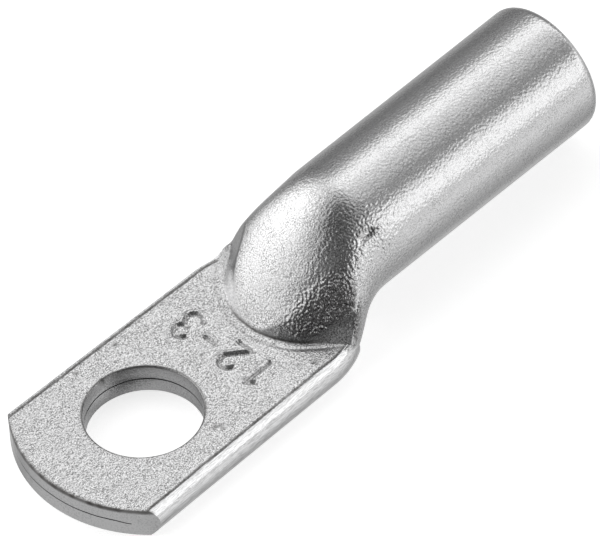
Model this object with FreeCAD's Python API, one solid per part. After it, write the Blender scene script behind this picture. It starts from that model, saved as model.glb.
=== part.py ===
"""Tubular cable lug: a copper tube pressed flat at one end and punched for a stud.

Millimetres. The origin is the stud hole's axis on the palm's underside, +X runs to the
barrel's mouth, +Z is up from the seating face and +Y completes the frame.
"""
import FreeCAD
import Part
import math
import os

V = FreeCAD.Vector

# Tube
TUBE_OD = 7.7
TUBE_WALL = 1.0
MOUTH_X = 31.38
MOUTH_ROUND = 0.7

# Palm
STUD_D = 6.5
PALM_T = 1.85
PALM_HALF_FRONT = 5.73
PALM_HALF_NECK = 5.48
FRONT_X = -6.93
FRONT_R = 8.0
FOLD_BULGE = 0.42
SEAM_GAP = 0.06
HOLE_ROUND = 0.1

# Neck, where the flat palm opens into the round barrel
NECK_X = 9.0
NECK_TURN_R = 5.4
CORNER_X = 11.5
FLARE_START_X = 9.0
FLARE_END_X = 14.9
ROUND_START_X = 9.4
ROUND_END_X = 15.5
CROWN_END_X = 15.35
CROWN_BELL = 1.45
CROWN_RISE = 0.95
CROWN_FULL = 2.15
BELL_END_X = 9.3
SHOULDER_X = 12.7
FLOOR_POWER = 5.0
FLOOR_START_X = 11.0
FLOOR_END_X = 13.2
FLOOR_SINK = 0.04
FLOOR_LIFT = 2.2
SEAT_END_X = 14.5
BODY_INSET = 0.1
FUNNEL_WAIST = 0.45
FUNNEL_HALF_START = 1.3
FUNNEL_HALF = 3.6

# Die mark, the outline that the press leaves round the crown's foot
DIE_FOOT_X = 8.1
DIE_R = 4.7
DIE_SPREAD = math.radians(50.0)
DIE_DRAFT = math.radians(24.0)
DIE_TAIL = 6.0
DIE_END_X = 12.2

# Section sampling
STATION_STEP = 0.5
POINTS = 16
LOFT_LEAD = 0.25
SEAM_LEAD = 0.6
SEAM_OVERLAP = 0.2
JOIN_TOLERANCE = 0.001
REACH = 20.0

BARREL_R = TUBE_OD / 2
BORE_R = BARREL_R - TUBE_WALL
STUD_R = STUD_D / 2
SEAM_Z = PALM_T / 2
PALM_WALL = (PALM_T - SEAM_GAP) / 2
SEAM_END_X = DIE_FOOT_X + SEAM_LEAD
TAPER = math.atan2(PALM_HALF_FRONT - PALM_HALF_NECK, NECK_X - FRONT_X)


def ramp(x, start, end):
    """Smooth step from 0 at start to 1 at end."""
    u = min(max((x - start) / (end - start), 0.0), 1.0)
    return u * u * (3 - 2 * u)


def mix(low, high, u):
    """Value between low and high."""
    return low + (high - low) * u


def crown_z(x):
    """Height of the crown: a raised quarter sine from its foot on the palm to the barrel."""
    u = min((x - DIE_FOOT_X) / (CROWN_END_X - DIE_FOOT_X), 1.0)
    rise = abs(math.sin(math.pi / 2 * u)) ** CROWN_RISE
    return PALM_T + (TUBE_OD - PALM_T) * math.copysign(rise, u)


def half_width(x):
    """Half width of the opening tube."""
    return mix(PALM_HALF_NECK - BODY_INSET, BARREL_R, ramp(x, FLARE_START_X, FLARE_END_X))


def waist_z(x):
    """Height of the widest point of the section."""
    return mix(SEAM_Z, BARREL_R, ramp(x, ROUND_START_X, ROUND_END_X))


def spline(points, rise):
    """Curve through points, evenly spaced in its parameter, that starts and ends upright."""
    places = [i / POINTS for i in range(POINTS + 1)]
    first = rise * POINTS * points[0].distanceToPoint(points[1])
    last = rise * POINTS * points[-1].distanceToPoint(points[-2])
    ends = {"InitialTangent": V(0, 0, first), "FinalTangent": V(0, 0, -last), "Scale": False}
    curve = Part.BSplineCurve()
    curve.interpolate(Points=points, PeriodicFlag=False, Parameters=places, **ends)
    return curve.toShape()


def section(x, half, heights, low, up):
    """Closed section at x, split at its widest points: below, a superellipse of power low;
    above, |y/half|^2 + |z/height|^up = 1."""
    bottom, waist, top = heights
    upper = []
    lower = []
    for i in range(POINTS + 1):
        c = math.cos(math.pi * i / POINTS)
        s = math.sqrt(max(1 - c * c, 0.0))
        upper.append(V(x, half * c, waist + (top - waist) * s ** (2 / up)))
        scale = (abs(c) ** low + s ** low) ** (-1 / low)
        lower.append(V(x, -half * scale * c, waist - (waist - bottom) * scale * s))
    return Part.Wire([spline(upper, 1), spline(lower, -1)])


def rounded_loft(shape, start, radius):
    """Loft of the opening tube's sections from start, ending round."""
    count = int(round((ROUND_END_X - start) / STATION_STEP))
    places = [mix(start, ROUND_END_X, i / count) for i in range(count)]
    heights = (BARREL_R - radius, BARREL_R, BARREL_R + radius)
    last = section(ROUND_END_X, radius, heights, 2.0, 2.0)
    return Part.makeLoft([shape(x) for x in places] + [last], True)


def run(radius, length):
    """Straight cylinder along the barrel from where it is round."""
    return Part.makeCylinder(radius, length, V(ROUND_END_X, 0, BARREL_R), V(1, 0, 0))


def crown_power(x):
    """Fullness of the crown's section: a bell at the foot, full shoulders, then round."""
    shoulders = mix(CROWN_BELL, CROWN_FULL, ramp(x, BELL_END_X, SHOULDER_X))
    return mix(shoulders, 2.0, ramp(x, SHOULDER_X, ROUND_END_X))


def outer_section(x):
    """Outside of the opening tube at x; its floor is trimmed flat with the palm afterwards."""
    u = ramp(x, CORNER_X, ROUND_END_X)
    floor = -FLOOR_SINK * (1 - u) * (1 - FLOOR_LIFT * u)
    heights = (floor, waist_z(x), crown_z(x))
    floor_power = mix(FLOOR_POWER, 2.0, ramp(x, FLOOR_START_X, FLOOR_END_X))
    return section(x, half_width(x), heights, floor_power, crown_power(x))


def inner_section(x):
    """Inside of the opening tube at x, which widens behind the die's outline, then closes to the bore."""
    wall = mix(PALM_WALL, TUBE_WALL, ramp(x, DIE_FOOT_X, ROUND_END_X))
    top = crown_z(x) - wall
    wide = mix(FUNNEL_HALF_START, FUNNEL_HALF, ramp(x, SEAM_END_X, CORNER_X))
    half = mix(wide, BORE_R, ramp(x, CORNER_X, ROUND_END_X))
    waist = mix(mix(wall, top, FUNNEL_WAIST), BARREL_R, ramp(x, SEAM_END_X, ROUND_END_X))
    return section(x, half, (wall, waist, top), 2.0, 2.0)


def fold_profile(inner):
    """Profile of the palm at the neck, from inner out over its bulged fold."""
    edge = PALM_HALF_NECK - FOLD_BULGE
    corners = [V(NECK_X, y, z) for y, z in ((inner, 0), (edge, 0), (edge, PALM_T), (inner, PALM_T))]
    fold = Part.Arc(corners[1], V(NECK_X, PALM_HALF_NECK, SEAM_Z), corners[2]).toShape()
    lines = [Part.makeLine(corners[0], corners[1]), fold]
    lines += [Part.makeLine(corners[2], corners[3]), Part.makeLine(corners[3], corners[0])]
    return Part.Face(Part.Wire(lines))


def palm_side(side):
    """One long half of the palm: its profile run straight, turned in at the neck, then tapered."""
    centre_y = PALM_HALF_NECK - NECK_TURN_R
    straight = fold_profile(-PALM_T).extrude(V(-REACH, 0, 0))
    turn = math.degrees(math.asin((CORNER_X - NECK_X) / NECK_TURN_R))
    bend = fold_profile(centre_y + SEAM_GAP).revolve(V(NECK_X, centre_y, 0), V(0, 0, -1), turn)
    solid = straight.fuse(bend).removeSplitter()
    solid.rotate(V(NECK_X, PALM_HALF_NECK, 0), V(0, 0, 1), -math.degrees(TAPER))
    return solid if side > 0 else solid.mirror(V(0, 0, 0), V(0, 1, 0))


def is_hole_rim(edge):
    """Whether an edge is the upper rim of the stud hole, where the punch went in."""
    box = edge.BoundBox
    return box.XMax < STUD_R + SEAM_GAP and box.XMin > -STUD_R - SEAM_GAP and box.ZMin > SEAM_Z


def palm():
    """Flattened end with its folded sides, cut to an arc at the front and punched for the stud."""
    slab = palm_side(1).fuse(palm_side(-1))
    outline = Part.makeCylinder(FRONT_R, PALM_T * 3, V(FRONT_X + FRONT_R, 0, -PALM_T))
    rear = Part.makeBox(REACH, REACH, PALM_T * 3, V(FRONT_X + FRONT_R, -REACH / 2, -PALM_T))
    hole = Part.makeCylinder(STUD_R, PALM_T * 3, V(0, 0, -PALM_T))
    punched = slab.common(outline.fuse(rear)).cut(hole).removeSplitter()
    return punched.makeFillet(HOLE_ROUND, [edge for edge in punched.Edges if is_hole_rim(edge)])


def die_outline(z):
    """Outline of the die's hollow at height z: an arc with a straight run on each side."""
    radius = DIE_R - (z - PALM_T) * math.tan(DIE_DRAFT)
    centre = V(DIE_FOOT_X + DIE_R, 0, z)
    ends = []
    tails = []
    for side in (-1, 1):
        end = centre + V(-radius * math.cos(DIE_SPREAD), side * radius * math.sin(DIE_SPREAD), 0)
        ends.append(end)
        tails.append(end + V(math.sin(DIE_SPREAD), side * math.cos(DIE_SPREAD), 0) * DIE_TAIL)
    arc = Part.Arc(ends[0], centre + V(-radius, 0, 0), ends[1]).toShape()
    lines = [arc, Part.makeLine(ends[1], tails[1]), Part.makeLine(tails[1], tails[0])]
    return Part.Wire(lines + [Part.makeLine(tails[0], ends[0])])


def die_block():
    """Metal that the die presses away round the foot of the crown."""
    low = -PALM_T
    high = PALM_T + TUBE_OD
    hollow = Part.makeLoft([die_outline(low), die_outline(high)], True, True)
    front = DIE_FOOT_X - DIE_R
    block = Part.makeBox(DIE_END_X - front, REACH, high - low, V(front, -REACH / 2, low))
    return block.cut(hollow)


def tube():
    """Round barrel and its opening neck, pressed by the die at the front of the crown."""
    neck = rounded_loft(outer_section, DIE_FOOT_X - LOFT_LEAD, BARREL_R)
    barrel = run(BARREL_R, MOUTH_X - ROUND_END_X)
    rim = [edge for edge in barrel.Edges if edge.BoundBox.XMin > MOUTH_X - TUBE_WALL]
    return neck.cut(die_block()).fuse([barrel.makeFillet(MOUTH_ROUND, rim)], JOIN_TOLERANCE)


def bore():
    """Conductor bore, closing into the seam between the palm's two walls."""
    funnel = rounded_loft(inner_section, SEAM_END_X, BORE_R)
    drill = run(BORE_R, MOUTH_X - ROUND_END_X + TUBE_WALL)
    half = half_width(DIE_FOOT_X) - PALM_WALL
    corner = V(SEAM_END_X + SEAM_OVERLAP - REACH, -half, SEAM_Z - SEAM_GAP / 2)
    seam = Part.makeBox(REACH, 2 * half, SEAM_GAP, corner)
    return funnel.fuse([drill], JOIN_TOLERANCE).fuse(seam)


def cable_lug():
    """The whole lug in one piece."""
    below = V(FRONT_X - TUBE_WALL, -REACH / 2, -TUBE_WALL)
    under_seat = Part.makeBox(SEAT_END_X - below.x, REACH, TUBE_WALL, below)
    solid = palm().fuse(tube()).cut([bore(), under_seat])
    return solid.removeSplitter()


os.makedirs("parts", exist_ok=True)
cable_lug().exportStep("parts/cable_lug.step")
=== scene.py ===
"""Looks of a tubular cable lug: tin-plated copper tube, pressed flat into a punched palm.

Lengths inside the shape functions are millimetres in the part's own frame: the stud hole's axis
at the origin, +X along the barrel to its mouth, +Z up from the seating face. Meshes are in metres.
"""

import bpy
import numpy as np
from mathutils import Matrix, Vector


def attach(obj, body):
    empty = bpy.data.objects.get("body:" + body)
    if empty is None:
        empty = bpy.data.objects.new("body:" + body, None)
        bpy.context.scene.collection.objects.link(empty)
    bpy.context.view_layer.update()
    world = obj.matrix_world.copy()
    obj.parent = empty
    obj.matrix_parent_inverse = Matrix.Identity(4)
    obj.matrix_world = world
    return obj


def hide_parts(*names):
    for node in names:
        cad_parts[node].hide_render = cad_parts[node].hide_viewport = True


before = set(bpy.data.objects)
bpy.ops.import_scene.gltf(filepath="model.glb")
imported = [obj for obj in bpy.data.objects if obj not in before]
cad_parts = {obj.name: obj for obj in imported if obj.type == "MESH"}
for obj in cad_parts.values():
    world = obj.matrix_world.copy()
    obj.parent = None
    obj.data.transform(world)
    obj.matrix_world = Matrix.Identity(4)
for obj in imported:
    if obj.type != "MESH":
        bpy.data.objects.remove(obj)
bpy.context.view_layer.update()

bl_info = {
    "name": "Tubular cable lug",
    "version": (1, 0, 0),
    "blender": (4, 5, 0),
    "location": "View3D > Sidebar > Cable lug",
    "description": "Builds a pressed and punched tubular cable lug with its tin plating",
    "category": "Add Mesh",
}

MM = 0.001
TURN = 2 * np.pi
FINISHES = ("speckled", "cut", "pressed", "folded", "inside")
SPECKLED, CUT, PRESSED, FOLDED, INSIDE = range(len(FINISHES))

# Shapes shared with the part's source, in millimetres
TUBE_R = 3.85
TUBE_WALL = 1.0
MOUTH_X = 31.38
MOUTH_ROUND = 0.7
STUD_R = 3.25
PALM_T = 1.85
PALM_HALF_FRONT, PALM_HALF_NECK = 5.73, 5.48
FRONT_X, FRONT_R = -6.93, 8.0
FOLD_BULGE = 0.42
NECK_X, NECK_TURN_R, CORNER_X = 9.0, 5.4, 11.5
ROUND_END_X = 15.5
DIE_FOOT_X, DIE_R = 8.1, 4.7
DIE_SPREAD, DIE_DRAFT = np.radians(50.0), np.radians(24.0)
DIE_END_X = 12.2
SEAM_Z = PALM_T / 2
CROWN_END_X = 15.35
BORE_R = TUBE_R - TUBE_WALL

# Shapes that only the looks have, in millimetres
STAMP_X, STAMP_DEPTH, STAMP_LIP = 6.04, 0.16, 0.02
RING_OUT, RING_NEAR_DEPTH, RING_FAR_DEPTH = 0.45, 0.03, 0.004
GROOVE_IN, GROOVE_DEPTH, GROOVE_REACH = 0.13, 0.035, 0.06
SCRATCH, SCRATCH_DEPTH = ((-4.0, 0.29), (-5.2, 0.12), (-6.48, -0.17)), 0.02
DENTS = (  # centre, reach and depth
    ((1.8, -3.62), 0.12, 0.05), ((2.05, -3.75), 0.1, 0.05), ((1.95, -3.98), 0.11, 0.04),
    ((-0.38, 4.69), 0.12, 0.05), ((2.49, 4.6), 0.12, 0.05), ((8.6, -4.3), 0.16, 0.03))
NICK_X, NICK_ANGLE, NICK_DEPTH = 14.4, np.radians(141), 0.13
NICK_HALF_LONG, NICK_HALF_WIDE = 0.52, 0.2
NICK_COS, NICK_SIN = 0.97, 0.24
WALL_END_X, FOLD_END_X = 12.6, 10.5
WALL_FOOT = (1.9, 2.1)
ROUGH_FROM_Y = 1.5
MOUTH_EDGE = 0.12
HOLE_RIM, HOLE_STEP, HOLE_STEP_ANGLE = 0.12, 0.05, 2.2


# Plain arithmetic

def ramp(x, start, end):
    """Smooth step from 0 at start to 1 at end."""
    u = np.clip((x - start) / (end - start), 0.0, 1.0)
    return u * u * (3 - 2 * u)


def mix(low, high, u):
    """Value between low and high."""
    return low + (high - low) * u


def bump_at(x, y, centre, reach):
    """Round hump of height 1 at centre, falling off like a bell over reach."""
    return np.exp(-((x - centre[0]) ** 2 + (y - centre[1]) ** 2) / reach ** 2)


def ridge(distance, reach):
    """Bell of height 1 where distance is 0, falling off over reach."""
    return np.exp(-(distance / reach) ** 2)


def waves(x, y, seed, size, count=9):
    """Mean of count sine waves of random direction and phase, about size long, between -1 and 1."""
    rng = np.random.default_rng(seed)
    total = np.zeros(np.broadcast(x, y).shape)
    for angle, phase, stretch in rng.random((count, 3)):
        k = TURN / (size * (0.6 + 0.9 * stretch))
        heading = TURN * angle
        total += np.sin(k * (x * np.cos(heading) + y * np.sin(heading)) + TURN * phase)
    return total / count


def distance_to_lines(x, y, lines):
    """Distance from each point to the nearest stretch of a set of open polylines."""
    best = np.full(np.broadcast(x, y).shape, 1e3)
    for line in lines:
        for (ax, ay), (bx, by) in zip(line[:-1], line[1:]):
            dx, dy = bx - ax, by - ay
            t = np.clip(((x - ax) * dx + (y - ay) * dy) / (dx * dx + dy * dy + 1e-12), 0, 1)
            best = np.minimum(best, np.hypot(x - ax - t * dx, y - ay - t * dy))
    return best


def arc(cx, cy, rx, ry, start, end, steps=12):
    """Points along an ellipse's arc, angles in degrees."""
    a = np.radians(np.linspace(start, end, steps))
    return list(zip(cx + rx * np.cos(a), cy + ry * np.sin(a)))


# Meshes

def sheet_faces(rows, columns, first=0, closed=False):
    """Quads of a grid of rows by columns vertices; closed joins the last column to the first."""
    across = np.arange(columns if closed else columns - 1)
    down = np.arange(rows - 1)
    d, a = np.meshgrid(down, across, indexing="ij")
    b = (a + 1) % columns
    quads = np.stack([d * columns + a, d * columns + b, (d + 1) * columns + b, (d + 1) * columns + a], -1)
    return quads.reshape(-1, 4) + first


def tube_mesh(name, rings, finish, caps):
    """Closed shell from rings of points, shape (rows, columns, 3), with a flat face on each end.
    Finish is one for the whole side or one for each column; caps holds the two ends' finishes."""
    rows, columns, _ = rings.shape
    quads = sheet_faces(rows, columns, closed=True)
    ends = [list(range(columns))[::-1], list(range((rows - 1) * columns, rows * columns))]
    sides = np.broadcast_to(finish, (rows - 1, columns))
    kinds = np.concatenate([sides.ravel(), caps])
    return outwards(mesh_object(name, rings.reshape(-1, 3), quads.tolist() + ends, kinds))


def mesh_object(name, points, faces, kinds):
    """Object with the lug's finishes in its slots; points are in millimetres, kinds one finish a face."""
    mesh = bpy.data.meshes.new(name)
    mesh.from_pydata((np.asarray(points) * MM).tolist(), [], faces)
    for finish in FINISHES:
        mesh.materials.append(bpy.data.materials[f"tin_{finish}"])
    mesh.polygons.foreach_set("material_index", np.asarray(kinds, np.int32))
    mesh.update()
    thing = bpy.data.objects.new(name, mesh)
    bpy.context.scene.collection.objects.link(thing)
    return thing


def vertex_places(mesh):
    """Places of a mesh's vertices, in metres, one row each."""
    places = np.empty(len(mesh.vertices) * 3)
    mesh.vertices.foreach_get("co", places)
    return places.reshape(-1, 3)


def outwards(thing):
    """Turns every face of a closed shell outwards, if its volume comes out negative."""
    mesh = thing.data
    mesh.calc_loop_triangles()
    corners = np.empty(len(mesh.loop_triangles) * 3, np.int32)
    mesh.loop_triangles.foreach_get("vertices", corners)
    a, b, c = vertex_places(mesh)[corners.reshape(-1, 3)].transpose(1, 0, 2)
    if np.einsum("ij,ij->i", a, np.cross(b, c)).sum() < 0:
        mesh.flip_normals()
    return thing


def combine(body, tool, operation):
    """Boolean of body with tool, applied, after which the tool is gone."""
    modifier = body.modifiers.new(operation, "BOOLEAN")
    modifier.object = tool
    modifier.operation = operation
    modifier.solver = "EXACT"
    graph = bpy.context.evaluated_depsgraph_get()
    made = bpy.data.meshes.new_from_object(body.evaluated_get(graph))
    old = body.data
    body.modifiers.clear()
    body.data = made
    bpy.data.meshes.remove(old)
    bpy.data.objects.remove(tool)


# The palm

def mark_lines():
    """Strokes of the size mark, plain digits, laid across the palm with their tops towards the hole."""
    one = [[(-0.32, 0.62), (0.08, 0.95), (0.08, -0.95)]]
    two = [arc(0.0, 0.45, 0.5, 0.5, 165, -35, 14) + [(-0.52, -0.95), (0.55, -0.95)]]
    dash = [[(-0.38, 0.0), (0.38, 0.0)]]
    three = [arc(0.0, 0.48, 0.47, 0.47, 155, -90, 12) + arc(0.0, -0.46, 0.52, 0.5, 90, -155, 14)]
    lines = []
    for strokes, middle_y in ((one, -2.67), (two, -0.86), (dash, 0.87), (three, 2.55)):
        for stroke in strokes:
            lines.append([(STAMP_X - up, middle_y + across) for across, up in stroke])
    return lines


def die_distance(x, y, z):
    """How far a point lies outside the die's drafted outline: an arc of DIE_R, then its tangents."""
    radius = DIE_R - (z - PALM_T) * np.tan(DIE_DRAFT)
    dx = DIE_FOOT_X + DIE_R - x
    side = np.abs(y)
    on_arc = np.arctan2(side, dx) <= DIE_SPREAD
    straight = dx * np.cos(DIE_SPREAD) + side * np.sin(DIE_SPREAD)
    return np.where(on_arc, np.hypot(dx, side), straight) - radius


def palm_relief(x, y):
    """Height of the palm's face above flat: the stamped mark with its raised lips, the ring that the
    die left, dents, a scratch, the folds' grooves and the slight unevenness of a pressed face."""
    stroke = distance_to_lines(x, y, mark_lines())
    height = -STAMP_DEPTH * (1 - ramp(stroke, 0.04, 0.17)) + STAMP_LIP * ridge(stroke - 0.23, 0.06)
    ring_depth = mix(RING_NEAR_DEPTH, RING_FAR_DEPTH, ramp(y, 0.0, 2.0))
    height = height - ring_depth * ridge(die_distance(x, y, PALM_T) - RING_OUT, 0.11)
    for centre, reach, depth in DENTS:
        height = height - depth * bump_at(x, y, centre, reach)
    height = height - SCRATCH_DEPTH * ridge(distance_to_lines(x, y, [SCRATCH]), 0.06)
    height = height - GROOVE_DEPTH * ridge(fold_line(x, y), GROOVE_REACH)
    return height + 0.02 * waves(x, y, 3, 2.6) + 0.004 * waves(x, y, 4, 0.9)


def palm_half(x):
    """Half width of the palm at x: a straight taper, then an arc turning in at the neck."""
    taper = (PALM_HALF_FRONT - PALM_HALF_NECK) / (NECK_X - FRONT_X)
    turn = PALM_HALF_NECK - NECK_TURN_R + np.sqrt(np.maximum(NECK_TURN_R ** 2 - (x - NECK_X) ** 2, 0))
    return np.where(x < NECK_X, PALM_HALF_NECK + (NECK_X - x) * taper, turn)


def fold_line(x, y):
    """Distance across the palm from the slightly wavy line where its face ends and the fold begins."""
    edge = palm_half(x) - FOLD_BULGE - GROOVE_IN + 0.03 * waves(x, 0 * y, 9, 3.0)
    return edge - np.abs(y)


def painted_shade_and_wear(x, y, z):
    """Darkness, 0 to 1: painted shade in the stamp, the die's foot line and ring, the folds' grooves, the
    dents, along the punched and cut edges and on the die's walls, and a darkened, worn edge round the
    nick."""
    # Painted shade on the palm's face, in its creases and recesses and along its edges
    outside = die_distance(x, y, PALM_T)
    lines = [
        0.28 * (1 - ramp(distance_to_lines(x, y, mark_lines()), 0.08, 0.2)),
        0.8 * ridge(outside, 0.07) * (1 - ramp(y, 0.8, 2.8)) * (y > -5.0) * (x < CORNER_X - 0.1),
        0.25 * ridge(outside - RING_OUT, 0.08) * (x < FOLD_END_X),
        (0.75 + 0.4 * waves(x, y, 15, 1.5)) * ridge(fold_line(x, y), 0.07) * (x < FOLD_END_X),
        0.6 * ridge(np.hypot(x, y) - STUD_R - 0.07, 0.06),
        (0.85 + 0.4 * waves(x, y, 16, 0.8)) * ridge(x - front_edge(y), 0.09) * (x < 0),
    ]
    lines += [12 * depth * bump_at(x, y, centre, 1.2 * reach) for centre, reach, depth in DENTS]
    on_face = ramp(z, 1.55, 1.7) * (1 - ramp(z, 2.0, 2.2))
    # Painted shade at the mouth's rim and on the die's near and far walls
    elsewhere = [
        0.55 * ridge(x - MOUTH_X, 0.08),
        0.55 * near_wall(x, y, z),
        0.15 * die_wall(x, y, z, 0.3) * (y > 0),
    ]
    dark = np.maximum.reduce([line * on_face for line in lines] + elsewhere)
    # Darkening round the nick stands in for its worn, brownish edge
    nick_edge = nick_distance(x, np.arctan2(z - TUBE_R, y)) - 1
    return np.clip(dark + 0.65 * ridge(nick_edge, 0.25), 0, 1)


def grit(x, y, z):
    """Coarseness of the peel, 0 to 1: highest on the near wall, then on the near side of the dome."""
    dome = 0.24 * ramp(-y, 0.9, 2.2) * ramp(x, 7.0, 8.0) * (1 - ramp(x, 15.0, 19.0)) * ramp(z, 2.0, 2.5)
    barrel = 0.1 * ramp(x, 10.0, 14.0)
    palm = 0.06 * (1 - ramp(z, 2.0, 2.2))
    return np.maximum.reduce([near_wall(x, y, z), dome, barrel, palm])


def die_wall(x, y, z, reach):
    """1 on the wall that the die left, falling to 0 over reach away from it."""
    close = 1 - ramp(np.abs(die_distance(x, y, z)), 0.05, reach)
    return close * ramp(z, *WALL_FOOT) * (x < WALL_END_X)


def near_wall(x, y, z):
    """1 on the rough wall that the die left on the near side, 0 elsewhere and on the wing's slope."""
    tip, palm_side, wall_side = wing_corners(-1)
    across = np.cross(palm_side - tip, wall_side - tip)
    off_slope = (np.stack([x, y, z], -1) - tip) @ across / np.linalg.norm(across)
    return die_wall(x, y, z, 0.6) * ramp(np.abs(off_slope), 0.03, 0.12) * ramp(-y, 1.3, 2.6)


def nick_distance(x, angle):
    """Distance from the middle of the barrel's nick, 1 at its edge; angle runs from +Y over +Z."""
    along, round_it = x - NICK_X, (angle - NICK_ANGLE) * TUBE_R
    return np.hypot((along * NICK_COS + round_it * NICK_SIN) / NICK_HALF_LONG,
                    (round_it * NICK_COS - along * NICK_SIN) / NICK_HALF_WIDE)


def fold_out(z):
    """How far the folded side bulges out at height z: an arc of height FOLD_BULGE over PALM_T."""
    radius = (SEAM_Z ** 2 + FOLD_BULGE ** 2) / (2 * FOLD_BULGE)
    return np.sqrt(np.maximum(radius ** 2 - (z - SEAM_Z) ** 2, 0)) - (radius - FOLD_BULGE)


def front_edge(y):
    """x of the cut front at y: an arc of FRONT_R."""
    return FRONT_X + FRONT_R - np.sqrt(np.maximum(FRONT_R ** 2 - y ** 2, 0))


def palm_shell():
    """Flattened end. Each ring runs over the face in across steps, round one fold in deep steps, back
    under and round the other; the first rings bend from the cut front's arc to straight across."""
    across, deep = 150, 12
    straight_x, stamp_x, dome_x = -3.9, 3.6, 9.6
    blend = np.linspace(0, 1, 16)[:-1]
    rest = np.concatenate([np.arange(straight_x, stamp_x, 0.12), np.arange(stamp_x, dome_x, 0.065),
                           np.arange(dome_x, CORNER_X, 0.11), [CORNER_X]])
    half = np.concatenate([np.linspace(0, 0.94, across // 2 - 11), np.linspace(0.94, 1, 13)[1:]])
    share = np.concatenate([half[::-1], -half[1:]])
    level = np.linspace(PALM_T, 0, deep + 1)
    down, up = level[1:-1], level[-2:0:-1]
    flat = np.zeros_like(share)
    top = np.stack([share, flat + PALM_T, flat])
    near = np.stack([-np.ones(deep - 1), down, fold_out(down)])
    under = np.stack([-share, flat, flat])
    far = np.stack([np.ones(deep - 1), up, fold_out(up)])
    part, z, out = np.concatenate([top, near, under, far], 1)

    def widths(x):
        """y round a ring: its share of the face's half width, and beyond it the fold's bulge."""
        return part * (palm_half(x) - FOLD_BULGE) + np.sign(part) * out

    front = np.full(part.shape, FRONT_X)
    for _ in range(6):
        front = front_edge(widths(front))
    rings = []
    for u in blend:
        x = mix(front, straight_x, u)
        rings.append(np.stack([x, widths(x), z], -1))
    for x in rest:
        rings.append(np.stack([np.full(part.shape, x), widths(x), z], -1))
    rings = np.array(rings)
    face = z > PALM_T - 1e-6
    x, y = rings[:, face, 0], rings[:, face, 1]
    rings[:, face, 2] += palm_relief(x, y) * ramp(palm_half(x) - FOLD_BULGE - np.abs(y), 0.0, 0.08)
    sides = out > 1e-9
    lengthwise = 0.006 * waves(rings[:, sides, 0] * 0.15, rings[:, sides, 2], 8, 0.5)
    rings[:, sides, 1] += lengthwise * np.sign(rings[:, sides, 1])
    return cap_front(rings, across, deep)


def cap_front(rings, across, deep):
    """Palm's shell, with its cut front as a grid between the first ring's face and underside."""
    rows, columns, _ = rings.shape
    first = rings[0]
    top = first[:across + 1]
    under = first[across + deep:2 * across + deep + 1][::-1]
    down = np.linspace(0, 1, deep + 1)[1:-1, None, None]
    inner = mix(top[None, 1:-1], under[None, 1:-1], down)
    near = first[across + 1:across + deep]
    far = first[2 * across + deep + 1:][::-1]
    side = mix(far[:, None], near[:, None], np.linspace(0, 1, across + 1)[None, 1:-1, None])
    inner[..., 1] = side[..., 1]
    inner[..., 0] = front_edge(inner[..., 1])
    x, y, z = inner[..., 0], inner[..., 1], inner[..., 2]
    inner[..., 0] = x + 0.012 * waves(y, z * 0.25, 5, 0.35) + 0.02 * waves(y, z, 6, 1.7)
    base = rows * columns
    index = np.empty((deep + 1, across + 1), int)
    index[0] = np.arange(across + 1)
    index[-1] = np.arange(across + deep, 2 * across + deep + 1)[::-1]
    index[1:-1, -1] = np.arange(across + 1, across + deep)
    index[1:-1, 0] = np.arange(2 * across + deep + 1, columns)[::-1]
    index[1:-1, 1:-1] = base + np.arange(inner.shape[0] * inner.shape[1]).reshape(inner.shape[:2])
    cap = np.stack([index[:-1, :-1], index[1:, :-1], index[1:, 1:], index[:-1, 1:]], -1).reshape(-1, 4)
    points = np.concatenate([rings.reshape(-1, 3), inner.reshape(-1, 3), [rings[-1].mean(0)]])
    quads = sheet_faces(rows, columns, closed=True)
    k = np.arange(columns)
    last = (rows - 1) * columns
    end = np.stack([last + k, last + (k + 1) % columns, np.full(columns, len(points) - 1)], -1)
    column = np.tile(k, rows - 1)
    on_fold = ((column >= across) & (column < across + deep)) | (column >= 2 * across + deep)
    kinds = np.concatenate([np.where(on_fold, FOLDED, SPECKLED), np.full(len(cap), CUT),
                            np.full(columns, SPECKLED)])
    faces = quads.tolist() + cap.tolist() + end.tolist()
    return outwards(mesh_object("palm", points, faces, kinds))


# The neck and barrel

def crown_z(x):
    """Height of the crown: a raised quarter sine from its foot on the palm to the barrel."""
    u = np.minimum((x - DIE_FOOT_X) / (CROWN_END_X - DIE_FOOT_X), 1.0)
    s = np.sin(np.pi / 2 * u)
    return PALM_T + (2 * TUBE_R - PALM_T) * np.sign(s) * np.abs(s) ** 0.95


def neck_point(x, angle):
    """Point of the opening tube at x, going round from +Y over the crown. Above its widest line
    |y/half|^2 + |z/height|^power = 1; below, a superellipse that goes from flat-floored to round."""
    half = mix(PALM_HALF_NECK - 0.1, TUBE_R, ramp(x, 9.0, 14.9))
    waist = mix(SEAM_Z, TUBE_R, ramp(x, 9.4, ROUND_END_X))
    shoulders = mix(1.45, 2.15, ramp(x, 9.3, 12.7))
    power = mix(shoulders, 2.0, ramp(x, 12.7, ROUND_END_X))
    low = mix(5.0, 2.0, ramp(x, 11.0, 13.2))
    u = ramp(x, CORNER_X, ROUND_END_X)
    floor = np.maximum(-0.04 * (1 - u) * (1 - 2.2 * u), 0.03 * (1 - ramp(x, 10.6, CORNER_X)))
    c, s = np.cos(angle), np.sin(angle)
    above = waist + (crown_z(x) - waist) * np.abs(s) ** (2 / power)
    scale = (np.abs(c) ** low + np.abs(s) ** low) ** (-1 / low)
    below = np.maximum(waist - (waist - floor) * scale * np.abs(s), floor)
    y = half * c * np.where(s < 0, scale, 1.0)
    return np.stack([x, y, np.where(s < 0, below, above)], -1)


def barrel_ring(x, radius, angle):
    """Round ring of the barrel at x."""
    y, z = radius * np.cos(angle), TUBE_R + radius * np.sin(angle)
    return np.stack([np.full_like(angle, x), y, z], -1)


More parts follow.
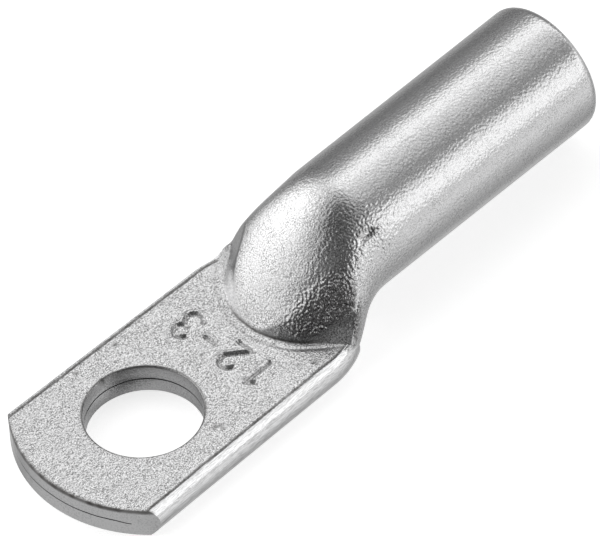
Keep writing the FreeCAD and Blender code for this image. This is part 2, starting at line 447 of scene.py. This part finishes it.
def tube_shell():
    """Barrel and neck. Each ring goes round from +Y over the top; rings cross the neck, run along
    the barrel and turn in at the mouth on a quarter circle. The barrel's nick is pushed in last."""
    angle = np.linspace(0, TURN, 240, endpoint=False)
    neck = np.linspace(DIE_FOOT_X + 0.02, ROUND_END_X, 76)
    barrel = np.linspace(ROUND_END_X, MOUTH_X - MOUTH_ROUND, 24)[1:]
    rings = [neck_point(np.full_like(angle, x), angle) for x in neck]
    rings += [barrel_ring(x, TUBE_R, angle) for x in barrel]
    for a in np.radians(np.linspace(0, 90, 10))[1:]:
        x = MOUTH_X - MOUTH_ROUND * (1 - np.sin(a))
        rings.append(barrel_ring(x, TUBE_R - MOUTH_ROUND * (1 - np.cos(a)), angle))
    rings = np.array(rings)
    dip = NICK_DEPTH * np.exp(-nick_distance(rings[..., 0], angle) ** 2)
    outward = (rings - (0, 0, TUBE_R)) * (0, 1, 1) / TUBE_R
    rings -= dip[..., None] * outward
    return tube_mesh("tube", rings, SPECKLED, (SPECKLED, CUT))


def die_shell():
    """Room that the die took on the palm's side of its drafted outline, which narrows with height:
    an arc, then its two tangents out to where the die ends, and round the back. Its near wall is
    rough and the rest is smooth."""
    turn = np.linspace(-DIE_SPREAD, DIE_SPREAD, 90)
    run = np.linspace(0, 1, 36)[1:]
    rings = []
    for z in np.concatenate([np.linspace(PALM_T - 0.02, 5.6, 42), [7.0, 9.0]]):
        radius = DIE_R - (z - PALM_T) * np.tan(DIE_DRAFT)
        x = DIE_FOOT_X + DIE_R - radius * np.cos(turn)
        y = radius * np.sin(turn)
        side_x = mix(x[-1], DIE_END_X, run)
        side_y = y[-1] + (side_x - x[-1]) / np.tan(DIE_SPREAD)
        x = np.concatenate([side_x[::-1], x, side_x, [5.0, 5.0]])
        y = np.concatenate([-side_y[::-1], y, side_y, [12.0, -12.0]])
        rings.append(np.stack([x, y, np.full_like(x, z)], -1))
    rings = np.array(rings)
    finish = np.where(rings[0, :, 1] > -ROUGH_FROM_Y, PRESSED, SPECKLED)
    die = tube_mesh("die", rings, finish, (PRESSED, PRESSED))
    for side in (-1, 1):
        combine(die, wing_wedge(side), "DIFFERENCE")
    return die


def wing_corners(side):
    """Tip, palm corner and wall corner of the slope at one wing."""
    return np.array([(8.82, 2.57 * side, PALM_T), (11.13, 5.39 * side, PALM_T),
                     (11.7, 4.8 * side, 2.85)])


def wing_wedge(side):
    """Sloping corner that the die left at one wing, between its wall and the palm's shoulder."""
    tip, palm_side, wall_side = wing_corners(side)
    top = np.array([tip, mix(tip, palm_side, 2.5), mix(tip, wall_side, 2.5)])
    under = top * (1, 1, 0) + (0, 0, 1.0)
    return tube_mesh("wedge", np.array([under, top]), SPECKLED, (SPECKLED, SPECKLED))


def soften(thing, share, passes):
    """Moves each vertex towards the mean of its neighbours by its share, a few times over."""
    mesh = thing.data
    places = vertex_places(mesh)
    ends = np.empty(len(mesh.edges) * 2, np.int32)
    mesh.edges.foreach_get("vertices", ends)
    a, b = ends.reshape(-1, 2).T
    weight = share(*(places.T / MM))[:, None]
    count = np.bincount(ends, minlength=len(places))[:, None]
    for _ in range(passes):
        total = np.zeros_like(places)
        np.add.at(total, a, places[b])
        np.add.at(total, b, places[a])
        places = mix(places, total / count, weight)
    mesh.vertices.foreach_set("co", places.ravel())
    mesh.update()


def near_crest(x, y, z):
    """Share of softening: most on the die's wall and just over its crest, 0 elsewhere."""
    wide = mix(0.4, 1.3, ramp(-y, 1.0, 3.0))
    close = 1 - ramp(np.abs(die_distance(x, y, z)), 0.15, wide)
    return 0.6 * close * ramp(z, 2.15, 2.6) * (1 - ramp(x, 13.0, 14.0))


# What is cut away

def bore_shell():
    """Conductor bore: closes from the round bore to a flat slot behind the crown's foot, and widens a
    little at the mouth's inner edge."""
    angle = np.linspace(0, TURN, 96, endpoint=False)
    start = DIE_FOOT_X + 0.6
    rings = []
    for x in np.linspace(start, ROUND_END_X, 40):
        wall = mix(SEAM_Z - 0.03, TUBE_WALL, ramp(x, DIE_FOOT_X, ROUND_END_X))
        top = crown_z(x) - wall
        slot_half = mix(1.3, 3.6, ramp(x, start, CORNER_X))
        half = mix(slot_half, BORE_R, ramp(x, CORNER_X, ROUND_END_X))
        waist = mix(mix(wall, top, 0.45), TUBE_R, ramp(x, start, ROUND_END_X))
        z = waist + np.where(np.sin(angle) > 0, top - waist, waist - wall) * np.sin(angle)
        rings.append(np.stack([np.full_like(angle, x), half * np.cos(angle), z], -1))
    for before, wider in ((MOUTH_EDGE, 0.0), (0.05, 0.05), (0.0, MOUTH_EDGE), (-0.5, MOUTH_EDGE)):
        rings.append(barrel_ring(MOUTH_X - before, BORE_R + wider, angle))
    return tube_mesh("bore", np.array(rings), INSIDE, (INSIDE, INSIDE))


def seam_shell():
    """The gap left between the palm's two pressed layers, slightly wavy and uneven in height."""
    y = np.linspace(-4.5, 4.5, 70)
    x = np.array([FRONT_X - 1.0, -5.0, -3.2, 0.0, 3.2, DIE_FOOT_X + 0.8])
    gx, gy = np.meshgrid(x, y, indexing="ij")
    hook = 0.12 * ramp(-gy, 3.6, 4.5) * ramp(-gx, 4.0, 5.0)
    middle = SEAM_Z + 0.03 * waves(gx, gy, 12, 4.0) - hook
    gap = 0.035 + 0.012 * waves(gx, gy, 13, 2.0) - 0.02 * ramp(gy, 1.5, 4.5)
    over = np.stack([gx, gy, middle + gap], -1)
    under = np.stack([gx, gy, middle - gap], -1)[:, ::-1]
    return tube_mesh("seam", np.concatenate([over, under], 1), INSIDE, (INSIDE, INSIDE))


def hole_shell():
    """Punched stud hole: its upper rim is rolled over to a small round and has one nick, and the
    lower layer stands in a little on one side."""
    angle = np.linspace(0, TURN, 180, endpoint=False)
    profile = [(0.03, -0.5), (0.03, 0.0)] + [(0.0, z) for z in (0.06, 0.5, 0.88, 0.97, 1.3)]
    for a in np.radians((0, 25, 50, 70, 86)):
        profile.append((HOLE_RIM * (1 - np.cos(a)), PALM_T - HOLE_RIM + HOLE_RIM * np.sin(a)))
    profile.append((HOLE_RIM + 0.02, PALM_T + 0.2))
    rings = []
    for wider, z in profile:
        nick = 0.1 * ridge(angle - 1.53, 0.035) * ramp(z, 1.2, PALM_T)
        low_layer = 1 - ramp(z, SEAM_Z - 0.03, SEAM_Z + 0.03)
        step = HOLE_STEP * (0.5 + 0.5 * np.cos(angle - HOLE_STEP_ANGLE)) * low_layer
        uneven = 0.008 * waves(angle * STUD_R, z * 0.2, 21, 1.1)
        r = STUD_R + wider + nick - step + uneven
        rings.append(np.stack([r * np.cos(angle), r * np.sin(angle), np.full_like(angle, z)], -1))
    return tube_mesh("hole", np.array(rings), INSIDE, (INSIDE, INSIDE))


# Finishes

# Colour of the painted shade in creases, recesses, along edges and on the die's walls, and of the nick's
# worn edge
SHADE_AND_WEAR_COLOUR = (0.09, 0.085, 0.08)
# Noises of the peel: fine height, middle height, broad mottle, pits and coarse grains. Each has its
# grains against the grain setting, and its detail
PEEL_NOISES = ((1.0, 3.0), (0.45, 2.0), (0.12, 2.0), (1.6, 1.0), (0.75, 0.0))
GRIT_GAIN = 3.4
# Where, along the lug in metres, the peel calms down and its flecks fade
PEEL_CALMS = (0.010, 0.016)
FLECKS_FADE = (0.008, 0.016)
# Scale of the peel's coordinates: even in millimetres, or drawn out along the folds
EVEN = (1000.0, 1000.0, 1000.0)
DRAWN_OUT = (150.0, 1000.0, 1000.0)


def add_node(tree, kind, **values):
    """New node with its inputs set by name and its own fields by lower-case name."""
    node = tree.nodes.new(kind)
    for key, value in values.items():
        if key in node.inputs:
            node.inputs[key].default_value = value
        else:
            setattr(node, key, value)
    return node


def plug(tree, slot, value):
    """Links a socket to slot, or sets slot to a constant."""
    if isinstance(value, bpy.types.NodeSocket):
        tree.links.new(value, slot)
    else:
        slot.default_value = value


def arithmetic(tree, operation, *values):
    """Output of a Math node; each value is a socket or a constant."""
    node = add_node(tree, "ShaderNodeMath", operation=operation)
    for slot, value in zip(node.inputs, values):
        plug(tree, slot, value)
    return node.outputs[0]


def blend(tree, kind, factor, low, high):
    """Output of a Mix node from low to high; each value is a socket or a constant."""
    node = add_node(tree, "ShaderNodeMix", data_type=kind)
    for name, value in (("Factor", factor), ("A", low), ("B", high)):
        plug(tree, node.inputs[name], value)
    return node.outputs["Result"]


def ranged(tree, value, low, high, start, end, interpolation="LINEAR"):
    """Output of a Map Range node that takes value from low..high to start..end."""
    node = add_node(tree, "ShaderNodeMapRange", interpolation_type=interpolation)
    names = ("Value", "From Min", "From Max", "To Min", "To Max")
    for name, number in zip(names, (value, low, high, start, end)):
        plug(tree, node.inputs[name], number)
    return node.outputs["Result"]


def measured(tree, name):
    """Value that the mesh's points carry under this name."""
    return add_node(tree, "ShaderNodeAttribute", attribute_name=name).outputs["Fac"]


def peel_group():
    """Group for the plating's orange peel. Out come its height, its flecks, a broad mottle and the
    painted shade, with the nick's wear, that the mesh carries. Height and flecks calm down on the barrel,
    in object coordinates, and coarser grains rise where the mesh's grit says so."""
    tree = bpy.data.node_groups.new("orange_peel", "ShaderNodeTree")
    for name, kind in (("Grain", "NodeSocketFloat"), ("Stretch", "NodeSocketVector")):
        tree.interface.new_socket(name, in_out="INPUT", socket_type=kind)
    for name in ("Height", "Fleck", "Mottle", "ShadeAndWear"):
        tree.interface.new_socket(name, in_out="OUTPUT", socket_type="NodeSocketFloat")
    link = tree.links.new
    inputs = tree.nodes.new("NodeGroupInput")
    outputs = tree.nodes.new("NodeGroupOutput")
    place = tree.nodes.new("ShaderNodeTexCoord").outputs["Object"]
    scale = add_node(tree, "ShaderNodeVectorMath", operation="MULTIPLY")
    link(place, scale.inputs[0])
    link(inputs.outputs["Stretch"], scale.inputs[1])
    noises = []
    for share, detail in PEEL_NOISES:
        noise = add_node(tree, "ShaderNodeTexNoise", Detail=detail, Roughness=0.6)
        link(scale.outputs[0], noise.inputs["Vector"])
        link(arithmetic(tree, "MULTIPLY", inputs.outputs["Grain"], share), noise.inputs["Scale"])
        noises.append(noise.outputs["Fac"])
    fine, middle, broad, pits, grains = noises
    split = tree.nodes.new("ShaderNodeSeparateXYZ")
    link(place, split.inputs[0])
    along = split.outputs["X"]

    calm = ranged(tree, along, *PEEL_CALMS, 1.0, 0.5)
    peel = arithmetic(tree, "MULTIPLY", blend(tree, "FLOAT", 0.4, fine, middle), calm)
    coarse = arithmetic(tree, "MULTIPLY", measured(tree, "grit"), GRIT_GAIN)
    link(arithmetic(tree, "MULTIPLY_ADD", grains, coarse, peel), outputs.inputs["Height"])

    fade = ranged(tree, along, *FLECKS_FADE, 1.0, 0.35)
    amount = arithmetic(tree, "MULTIPLY", fade, ranged(tree, broad, 0.38, 0.62, 0.6, 1.45))
    speck = ranged(tree, pits, 0.36, 0.54, 0.0, 1.0)
    link(blend(tree, "FLOAT", amount, 0.85, speck), outputs.inputs["Fleck"])
    link(broad, outputs.inputs["Mottle"])
    # The mesh's painted shade, with the nick's wear
    link(measured(tree, "painted_shade_and_wear"), outputs.inputs["ShadeAndWear"])
    return tree


def tin_material(name, peel, grain, height, roughness, colour, dull, stretch=EVEN):
    """Tin plating: metal whose normal follows the peel's height, whose colour is the plating's, dulled
    between its flecks and darkened by painted shade and the nick's wear, and whose roughness drifts with
    the mottle."""
    material = bpy.data.materials.new(f"tin_{name}")
    material.use_nodes = True
    tree = material.node_tree
    link = tree.links.new
    shader = tree.nodes["Principled BSDF"]
    shader.inputs["Metallic"].default_value = 1.0
    surface = add_node(tree, "ShaderNodeGroup", node_tree=peel)
    surface.inputs["Grain"].default_value = grain
    surface.inputs["Stretch"].default_value = stretch
    between = (*[c * dull for c in colour], 1.0)
    tint = blend(tree, "RGBA", surface.outputs["Fleck"], between, (*colour, 1.0))
    # Colour darkened towards painted shade, and at the nick towards its worn edge
    shaded_and_worn = blend(tree, "RGBA", surface.outputs["ShadeAndWear"], tint, (*SHADE_AND_WEAR_COLOUR, 1.0))
    link(shaded_and_worn, shader.inputs["Base Color"])
    rough = ranged(tree, surface.outputs["Mottle"], 0.3, 0.7, roughness * 0.75, roughness * 1.25)
    link(rough, shader.inputs["Roughness"])
    relief = add_node(tree, "ShaderNodeBump", Strength=1.0, Distance=height)
    link(surface.outputs["Height"], relief.inputs["Height"])
    link(relief.outputs["Normal"], shader.inputs["Normal"])


# Settings and operators

class LugLook(bpy.types.PropertyGroup):
    """Sizes and colours of the plating and the stage."""

    tin: bpy.props.FloatVectorProperty(
        name="Tin", description="Colour of the tin plating", subtype="COLOR",
        default=(0.92, 0.92, 0.925), min=0.0, max=1.0)
    peel_grain: bpy.props.FloatProperty(
        name="Peel grain", description="Grains of the orange peel per millimetre",
        default=9.0, min=0.5, max=20.0)
    peel_height: bpy.props.FloatProperty(
        name="Peel height", description="Height of the orange peel",
        default=0.000045, unit="LENGTH", precision=6)
    roughness: bpy.props.FloatProperty(
        name="Roughness", description="Roughness of the plating between its grains",
        default=0.12, min=0.0, max=1.0, subtype="FACTOR")
    fleck_dull: bpy.props.FloatProperty(
        name="Fleck dullness", description="Brightness of the plating between flecks",
        default=0.3, min=0.0, max=1.0, subtype="FACTOR")
    floor: bpy.props.FloatVectorProperty(
        name="Floor", description="Colour of the floor", subtype="COLOR",
        default=(0.9, 0.9, 0.9), min=0.0, max=1.0)
    lamp: bpy.props.FloatProperty(
        name="Lamp", description="Brightness of the softbox", default=1.0, min=0.0)


class CABLELUG_OT_finishes(bpy.types.Operator):
    """Make the tin plating's materials"""

    bl_idname = "cable_lug.finishes"
    bl_label = "Tin finishes"

    def execute(self, context):
        look = context.scene.cable_lug
        peel = peel_group()
        grain, high, rough = look.peel_grain, look.peel_height, look.roughness

        def tin(share):
            """The plating's colour, darkened to a share of itself."""
            return tuple(c * share for c in look.tin)

        tin_material("speckled", peel, grain, high, rough, tin(1.0), look.fleck_dull)
        tin_material("cut", peel, grain * 0.7, high * 0.3, rough * 1.3, tin(0.86), 0.85)
        tin_material("pressed", peel, grain * 0.8, high * 0.4, rough, tin(0.95), 0.7)
        tin_material("folded", peel, grain, high * 0.5, rough, tin(1.0), 0.8, DRAWN_OUT)
        # Painted shade: the inside's colour is the tin darkened to two thirds, in the bore, the seam's
        # gap and the stud hole
        tin_material("inside", peel, grain, high, rough * 1.8, tin(0.66), 0.75)
        return {"FINISHED"}


class CABLELUG_OT_lug(bpy.types.Operator):
    """Make the lug from its pressed palm, neck and barrel, with the bore, seam and stud hole cut"""

    bl_idname = "cable_lug.lug"
    bl_label = "Lug"

    def execute(self, context):
        lug = palm_shell()
        lug.name = "plated_lug"
        tube = tube_shell()
        combine(tube, die_shell(), "DIFFERENCE")
        soften(tube, near_crest, passes=20)
        combine(lug, tube, "UNION")
        for tool in (bore_shell, seam_shell, hole_shell):
            combine(lug, tool(), "DIFFERENCE")
        if not lug.data.polygons:
            raise RuntimeError("the lug came out empty")
        # Painted shade and wear, and the peel's grit, carried on the mesh's points
        for name, measure in (("painted_shade_and_wear", painted_shade_and_wear), ("grit", grit)):
            field = lug.data.attributes.new(name, "FLOAT", "POINT")
            values = measure(*(vertex_places(lug.data).T / MM))
            field.data.foreach_set("value", values.astype(np.float32))
        lug.data.polygons.foreach_set("use_smooth", np.ones(len(lug.data.polygons), bool))
        lug.data.set_sharp_from_angle(angle=np.radians(32))
        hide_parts("cable_lug")
        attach(lug, "root")
        return {"FINISHED"}


ROOM_GREY = 0.09
# Strip lights along the lug: turn round the barrel's axis from +Y over +Z, in degrees, and brightness
STRIPS = (
    (-95, 0.45), (-55, 0.62), (-17, 0.32), (-1, 0.17), (30, 0.3), (43, 0.42), (51, 0.92), (68, 1.26),
    (77, 0.88), (100, 0.62), (112, 0.42), (124, 0.27), (134, 0.33), (144, 0.8), (155, 1.15),
    (171, 1.15), (181, 0.58), (203, 0.82), (222, 0.56), (262, 0.3))
# Soft fields on the palm's side: turn from +X, lift and faded edge in degrees, and strength
FIELDS = (
    (118, 28, 64, 1.0),
    (163, 56, 28, -0.2),
    (-153, 35, 26, 0.12),
    (165, -60, 70, 0.4),
)
SIDES_MEET = 0.33
FLOOR_HALF, FLOOR_GLOW = 8.0, 0.68
KEY_FROM, KEY_AIM = (-0.4, 0.85, 0.55), (0.012, 0.0, 0.003)
KEY_SIZE, KEY_DISTANCE, KEY_STRENGTH = 0.3, 0.5, 0.4

# The photograph's frame in pixels, and the middle of the stud hole's upper rim in it
FRAME_PX = Vector((600, 536))
STUD_PX = Vector((143.9, 410.9))
# Its view, worked out from the hole's ellipse and the lug's edges: right and up in the part's frame,
# roll in degrees, the width it covers and how far past the hole it aims, in metres
VIEW_RIGHT = Vector((0.6934, -0.7177, -0.0640))
VIEW_UP = Vector((0.5562, 0.4765, 0.6808))
VIEW_ROLL, VIEW_WIDTH, VIEW_PAST = 0.36, 32.03 * MM, 5.0 * MM
LENS, SENSOR = 1400.0, 36.0


def fill_ramp(ramp_stops, table):
    """Sets a colour ramp over a full turn, -180 to 180 degrees, to a table of turn and grey."""
    stops = sorted(((turn + 180) % 360 / 360, grey) for turn, grey in table)
    elements = ramp_stops.elements
    while len(elements) < len(stops):
        elements.new(0.5)
    for element, (place, grey) in zip(elements, stops):
        element.position = place
        element.color = (grey, grey, grey, 1.0)


def softbox(name, direction, aim, distance, size, strength):
    """Square area lamp that faces aim from a direction; strength is its brightness as a surface."""
    data = bpy.data.lights.new(name, "AREA")
    data.shape = "SQUARE"
    data.size = size
    data.energy = strength * np.pi * size ** 2
    lamp = bpy.data.objects.new(name, data)
    along = Vector(direction).normalized()
    lamp.location = Vector(aim) + along * distance
    lamp.rotation_euler = along.to_track_quat("Z", "Y").to_euler()
    bpy.context.scene.collection.objects.link(lamp)


def soft_fields(tree, direction):
    """Brightness of the room on the palm's side: its grey plus the soft fields."""
    total = ROOM_GREY
    for turn, lift, edge, strength in FIELDS:
        a, e = np.radians((turn, lift))
        facing = add_node(tree, "ShaderNodeVectorMath", operation="DOT_PRODUCT")
        tree.links.new(direction, facing.inputs[0])
        facing.inputs[1].default_value = (np.cos(a) * np.cos(e), np.sin(a) * np.cos(e), np.sin(e))
        outer, inner = np.cos(np.radians((edge, edge / 4)))
        field = ranged(tree, facing.outputs["Value"], outer, inner, 0.0, strength, "SMOOTHSTEP")
        total = arithmetic(tree, "ADD", field, total)
    return total


def strip_lights(tree, y, z):
    """Brightness of the room on the barrel's side, by turn round the barrel's axis."""
    turn = arithmetic(tree, "ARCTAN2", z, y)
    strips = tree.nodes.new("ShaderNodeValToRGB")
    fill_ramp(strips.color_ramp, STRIPS)
    tree.links.new(ranged(tree, turn, -np.pi, np.pi, 0.0, 1.0), strips.inputs["Fac"])
    return strips.outputs["Color"]


class CABLELUG_OT_stage(bpy.types.Operator):
    """Make the floor, the soft light and the camera"""

    bl_idname = "cable_lug.stage"
    bl_label = "Stage"

    def execute(self, context):
        look = context.scene.cable_lug
        softbox("key", KEY_FROM, KEY_AIM, KEY_DISTANCE, KEY_SIZE, KEY_STRENGTH * look.lamp)
        self.world(context)
        self.floor(look)
        self.camera(context)
        return {"FINISHED"}

    def world(self, context):
        """Grey room with soft bright fields; the lens sees it plain white."""
        world = bpy.data.worlds.new("room")
        context.scene.world = world
        world.use_nodes = True
        tree = world.node_tree
        direction = tree.nodes.new("ShaderNodeTexCoord").outputs["Object"]
        split = tree.nodes.new("ShaderNodeSeparateXYZ")
        tree.links.new(direction, split.inputs[0])
        x, y, z = split.outputs
        side = ranged(tree, x, 0.0, SIDES_MEET, 0.0, 1.0, "SMOOTHSTEP")
        room = blend(tree, "FLOAT", side, soft_fields(tree, direction), strip_lights(tree, y, z))
        seen = tree.nodes.new("ShaderNodeLightPath").outputs["Is Camera Ray"]
        background = tree.nodes["Background"]
        background.inputs["Color"].default_value = (1, 1, 1, 1)
        tree.links.new(blend(tree, "FLOAT", seen, room, 1.0), background.inputs["Strength"])

    def floor(self, look):
        """Pale floor that shows white where nothing shades it."""
        material = bpy.data.materials.new("pale_floor")
        material.use_nodes = True
        tree = material.node_tree
        shader = tree.nodes["Principled BSDF"]
        shader.inputs["Base Color"].default_value = (*look.floor, 1.0)
        shader.inputs["Roughness"].default_value = 0.9
        shader.inputs["Specular IOR Level"].default_value = 0.0
        shader.inputs["Emission Color"].default_value = (1, 1, 1, 1)
        seen = tree.nodes.new("ShaderNodeLightPath").outputs["Is Camera Ray"]
        glow = arithmetic(tree, "MULTIPLY", seen, FLOOR_GLOW)
        tree.links.new(glow, shader.inputs["Emission Strength"])
        h = FLOOR_HALF
        mesh = bpy.data.meshes.new("floor")
        mesh.from_pydata([(-h, -h, 0), (h, -h, 0), (h, h, 0), (-h, h, 0)], [], [(0, 1, 2, 3)])
        mesh.materials.append(material)
        plane = bpy.data.objects.new("floor", mesh)
        plane.visible_glossy = False
        bpy.context.scene.collection.objects.link(plane)

    def camera(self, context):
        """Very long lens, so the view is nearly without perspective, at the photograph's angle."""
        back = VIEW_RIGHT.cross(VIEW_UP).normalized()
        roll = Matrix.Rotation(np.radians(VIEW_ROLL), 3, back)
        right = roll @ VIEW_RIGHT.normalized()
        up = roll @ back.cross(VIEW_RIGHT).normalized()
        pixel = VIEW_WIDTH / FRAME_PX.x
        shift = (FRAME_PX / 2 - STUD_PX) * pixel
        target = Vector((0, 0, PALM_T * MM)) + right * shift.x - up * shift.y - back * VIEW_PAST
        data = bpy.data.cameras.new("camera")
        data.sensor_width = SENSOR
        data.lens = LENS
        distance = VIEW_WIDTH * LENS / SENSOR
        data.clip_start, data.clip_end = distance * 0.2, distance * 5
        camera = bpy.data.objects.new("camera", data)
        turn = Matrix((right, up, back)).transposed().to_4x4()
        camera.matrix_world = Matrix.Translation(target + back * distance) @ turn
        context.scene.collection.objects.link(camera)
        context.scene.camera = camera
        context.scene.view_settings.view_transform = "Standard"


class CABLELUG_PT_panel(bpy.types.Panel):
    """Sidebar panel with the lug's settings and operators"""

    bl_label = "Cable lug"
    bl_idname = "CABLELUG_PT_panel"
    bl_space_type = "VIEW_3D"
    bl_region_type = "UI"
    bl_category = "Cable lug"

    def draw(self, context):
        look = context.scene.cable_lug
        for name in look.bl_rna.properties.keys():
            if name not in ("rna_type", "name"):
                self.layout.prop(look, name)
        for operator in OPERATORS:
            self.layout.operator(operator.bl_idname)


OPERATORS = (CABLELUG_OT_finishes, CABLELUG_OT_lug, CABLELUG_OT_stage)
CLASSES = (LugLook, *OPERATORS, CABLELUG_PT_panel)


def register():
    """Adds the classes and the scene's settings."""
    for cls in CLASSES:
        bpy.utils.register_class(cls)
    bpy.types.Scene.cable_lug = bpy.props.PointerProperty(type=LugLook)


def unregister():
    """Takes the settings and the classes away again."""
    del bpy.types.Scene.cable_lug
    for cls in reversed(CLASSES):
        bpy.utils.unregister_class(cls)


def main():
    """Builds everything."""
    register()
    bpy.ops.cable_lug.finishes()
    bpy.ops.cable_lug.lug()
    bpy.ops.cable_lug.stage()


if __name__ == "__main__":
    main()
